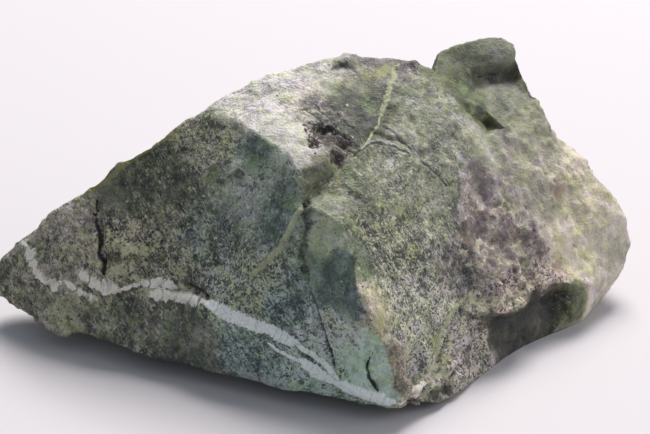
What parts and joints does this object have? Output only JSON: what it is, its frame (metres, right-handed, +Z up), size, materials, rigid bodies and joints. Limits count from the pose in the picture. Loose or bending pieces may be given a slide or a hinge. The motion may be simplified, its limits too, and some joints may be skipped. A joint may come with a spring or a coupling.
{
  "type": "rough green serpentinised peridotite stone",
  "caption": "Broken lump of mottled green rock with a pale fibrous vein, a pointed wing, a front prow and an upstanding peak; lies on a small flat underside.",
  "frame": {"origin": "middle of the bounding box, at the height of the flat face the stone lies on", "axes": "+X along the stone from the pointed wing to the thick end, +Y from the prow to the plain back, +Z up"},
  "size_m": [0.111, 0.0614, 0.0447],
  "materials": {
    "mottled_green_rock": "dull broken surface, fine-grained, mottled green"
  },
  "bodies": {
    "root": {"rough_stone": "mottled_green_rock"}
  },
  "joints": []
}
